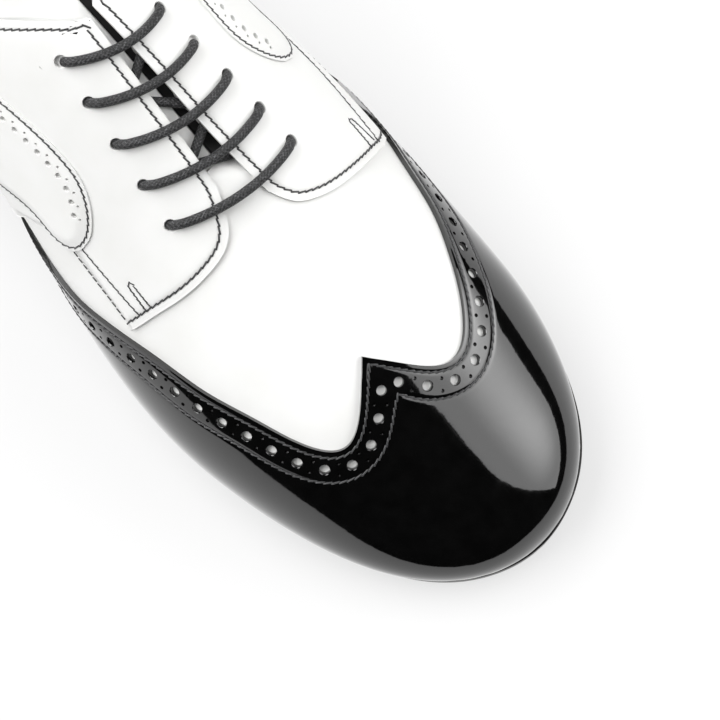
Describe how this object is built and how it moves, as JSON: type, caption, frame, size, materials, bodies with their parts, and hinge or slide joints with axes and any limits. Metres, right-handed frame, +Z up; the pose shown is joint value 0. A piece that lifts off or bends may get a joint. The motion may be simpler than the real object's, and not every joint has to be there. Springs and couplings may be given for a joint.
{
  "type": "dance shoe",
  "caption": "Low lace-up dance shoe with a black patent wing-tip toe, white vamp and quarters, thin leather sole and stacked heel.",
  "frame": {"origin": "On the floor, below the middle of the shoe's box.", "axes": "+X points to the toe, +Y to the medial side, +Z up. The shoe stands on its heel lift and the ball of its sole."},
  "size_m": [0.2954, 0.1062, 0.105],
  "materials": {
    "white_leather": "smooth white calf, soft gloss",
    "patent_leather": "black patent, mirror gloss",
    "sole_leather": "black edge dressing",
    "heel_leather": "stacked leather, black edge dressing",
    "insole_leather": "natural, matt",
    "heel_rubber": "matt black",
    "lace": "black round braid, waxed"
  },
  "bodies": {
    "root": {"upper": "white_leather", "tongue": "white_leather", "wing_cap": "patent_leather", "quarter_lateral": "white_leather", "quarter_medial": "white_leather", "counter": "white_leather", "outsole": "sole_leather", "insole": "insole_leather", "heel": "heel_leather", "heel_lift": "heel_rubber", "lace_bar_1": "lace", "lace_bar_2": "lace", "lace_bar_3": "lace", "lace_bar_4": "lace", "lace_bar_5": "lace"}
  },
  "joints": []
}
